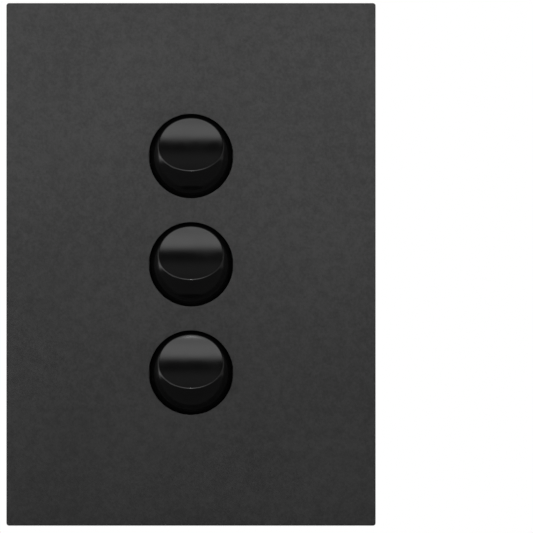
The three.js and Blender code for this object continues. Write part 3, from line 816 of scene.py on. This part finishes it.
class SWITCHPLATE_OT_mechanisms(bpy.types.Operator):
    """Finish the grid, housings, terminals, contacts, plungers and springs"""

    bl_idname = "switch_plate.mechanisms"
    bl_label = "Mechanisms"

    def execute(self, context):
        black = moulded_plastic("housing_black", grey(0.014), rough=0.5)
        pale = moulded_plastic("housing_pale", (0.60, 0.58, 0.54), rough=0.48)
        nylon = moulded_plastic("plunger_nylon", (0.74, 0.70, 0.60), rough=0.4)
        brass = worked_metal("turned_brass", (0.72, 0.50, 0.20), (0.52, 0.34, 0.14))
        copper = worked_metal("rolled_copper", (0.80, 0.44, 0.27), (0.55, 0.29, 0.17))
        wire = worked_metal("spring_wire", (0.50, 0.50, 0.52), (0.34, 0.34, 0.36))
        dress("grid_frame", moulded_plastic("grid_black", grey(0.022), rough=0.55))
        for gang in GANGS:
            dress(f"{gang}_front_housing", black)
            dress(f"{gang}_rear_housing", pale)
            node = f"{gang}_plunger"
            pin = [set_at_rest(plunger_shell(), gang)]
            make_piece(f"{gang}_plunger_pin", pin, nylon, node, [node])
            node = f"{gang}_plunger_spring"
            shell = set_at_rest(spring_shell(), gang)
            spring = make_piece(f"{gang}_spring", [shell], wire, f"{gang}_dolly", [node])
            front, back = rocker_point(gang, SPRING_FRONT), rocker_point(gang, SPRING_BACK)
            along = [far - near for far, near in zip(front, back)]
            travel = JOINTS[f"{gang}_plunger_slide"]["range_m"][1] / MM
            keep = 1 - travel / (SPRING_FRONT - SPRING_BACK)
            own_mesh(spring)
            # The snap arms piece also holds the black seam lip, which is painted shade in the joint.
            make_piece(f"{gang}_snap_arms_and_shade_lip", latch_shells(gang), black, "grid")
            make_piece(f"{gang}_catches", catch_shells(gang), pale, "grid")
            dress(f"{gang}_moving_contact", copper)
            for terminal in TERMINALS:
                dress(f"{gang}_{terminal}_terminal", brass)
        return {"FINISHED"}


# ---- Studio ----
def studio_light():
    """The world: white where it is seen directly. What lights the object and shows in its gloss is a wide
    soft panel in front, from just below the horizon up to about 35 degrees, dimmer to both sides, with a
    faint ceiling above, a low glow at the far left and a pale room behind. Each is a product of soft steps
    in the direction's x, y and up."""
    world = bpy.data.worlds.new("studio")
    bpy.context.scene.world = world
    world.use_nodes = True
    tree = NodeTree(world.node_tree)
    x, y, up = tree.direction(tree.node("ShaderNodeTexCoord").outputs["Generated"])
    front = y.step(0.75, 0.35)
    sides = (1 - x.step(0.1, 0.6) * 0.8) * (1 - (0 - x).step(0.1, 0.6) * 0.6)
    panel = up.step(-0.14, -0.06) * (1 - up.step(0.48, 0.62)) * (1.42 + 0.78 * up.step(0.14, 0.38)) * sides
    overhead = 0.035 + 0.18 * up.step(0.68, 0.84) * (1 - up.step(0.88, 0.97) * 0.4)
    above = up.step(-0.02, 0.02)
    left = (0 - x).step(0.6, 0.92) * up.step(-0.25, 0.02) * (1 - up.step(0.06, 0.26)) * 1.3
    front_light = panel + overhead * above + 0.09 * (1 - above) + left
    light = front * front_light + (1 - front) * 0.9
    seen = Value(tree, tree.node("ShaderNodeLightPath").outputs["Is Camera Ray"])
    strength = seen + (1 - seen) * light
    background = tree.node("ShaderNodeBackground", {}, {"Color": (1, 1, 1, 1), "Strength": strength})
    tree.node("ShaderNodeOutputWorld", {}, {"Surface": background.outputs[0]})


def add_lamp(name, place, aim, size, power, glossy=True):
    """A soft square lamp at a place, turned to its aim; it isn't seen directly."""
    data = bpy.data.lights.new(name, "AREA")
    data.size = size
    data.energy = power
    lamp = bpy.data.objects.new(name, data)
    bpy.context.scene.collection.objects.link(lamp)
    lamp.location = place
    lamp.rotation_euler = (Vector(aim) - Vector(place)).to_track_quat("-Z", "Y").to_euler()
    lamp.visible_camera = False
    lamp.visible_glossy = glossy
    return data


class SWITCHPLATE_OT_stage(bpy.types.Operator):
    """Set up the camera, the pale floor and the studio light"""

    bl_idname = "switch_plate.stage"
    bl_label = "Stage"

    def execute(self, context):
        settings = context.scene.switch_stage
        scene = context.scene
        scene.view_settings.view_transform = "Standard"
        data = bpy.data.cameras.new("studio_camera")
        data.lens = settings.lens
        data.clip_end = 100
        camera = bpy.data.objects.new("studio_camera", data)
        scene.collection.objects.link(camera)
        view_height = (PLATE_HIGH[2] - PLATE_LOW[2]) * settings.margin * MM
        distance = view_height * data.lens / data.sensor_width
        camera.location = (settings.aside * MM, FACE_Y * MM - distance, -settings.below * MM)
        camera.rotation_euler = (math.pi / 2, 0, 0)
        scene.camera = camera

        key = add_lamp("key", (0.01, -0.11, 0.055), (0.01, 0, 0.055), 0.5, settings.key, glossy=False)
        key.shape = "RECTANGLE"
        key.size_y = 0.05
        add_lamp("behind", (0.35, 0.9, 0.6), (0, 0, 0), 0.4, 7.0)
        add_lamp("low_spark", (0.0, -0.95, 0.08), (0, 0, 0), 0.05, 0.4)
        add_lamp("left_spark", (-0.75, -0.75, -0.22), (0, 0, 0), 0.30, 0.32)

        half, depth = 20.0, -1.5
        mesh = bpy.data.meshes.new("floor")
        corners = [(-half, -half), (half, -half), (half, half), (-half, half)]
        mesh.from_pydata([(x, y, depth) for x, y in corners], [], [(0, 1, 2, 3)])
        floor = bpy.data.objects.new("floor", mesh)
        scene.collection.objects.link(floor)
        pale = Paint("floor_paint")
        mesh.materials.append(pale.finish(colour=(0.85, 0.85, 0.85, 1), roughness=0.9))
        floor.visible_glossy = False
        studio_light()
        return {"FINISHED"}


# ---- Add-on ----
class SWITCHPLATE_PT_panel(bpy.types.Panel):
    """The pieces of the switch plate and their settings"""

    bl_idname = "SWITCHPLATE_PT_panel"
    bl_label = "Switch plate"
    bl_space_type = "VIEW_3D"
    bl_region_type = "UI"
    bl_category = "Switch plate"

    def draw(self, context):
        for group in SETTINGS:
            settings = getattr(context.scene, group)
            box = self.layout.box()
            for name in settings.__annotations__:
                box.prop(settings, name)
        for operator in OPERATORS:
            self.layout.operator(operator.bl_idname)


SETTINGS = {"switch_cover": CoverSettings, "switch_rocker": RockerSettings, "switch_stage": StageSettings}
OPERATORS = (
    SWITCHPLATE_OT_stage,
    SWITCHPLATE_OT_cover,
    SWITCHPLATE_OT_rockers,
    SWITCHPLATE_OT_screws,
    SWITCHPLATE_OT_mechanisms,
)


def register():
    """Registers the settings, the operators and the panel."""
    for name, group in SETTINGS.items():
        bpy.utils.register_class(group)
        setattr(bpy.types.Scene, name, bpy.props.PointerProperty(type=group))
    for item in (*OPERATORS, SWITCHPLATE_PT_panel):
        bpy.utils.register_class(item)


def unregister():
    """Takes away what register added."""
    for item in (SWITCHPLATE_PT_panel, *reversed(OPERATORS)):
        bpy.utils.unregister_class(item)
    for name, group in SETTINGS.items():
        delattr(bpy.types.Scene, name)
        bpy.utils.unregister_class(group)


def main():
    """Builds everything."""
    register()
    for operator in OPERATORS:
        group, name = operator.bl_idname.split(".")
        getattr(getattr(bpy.ops, group), name)()


if __name__ == "__main__":
    main()
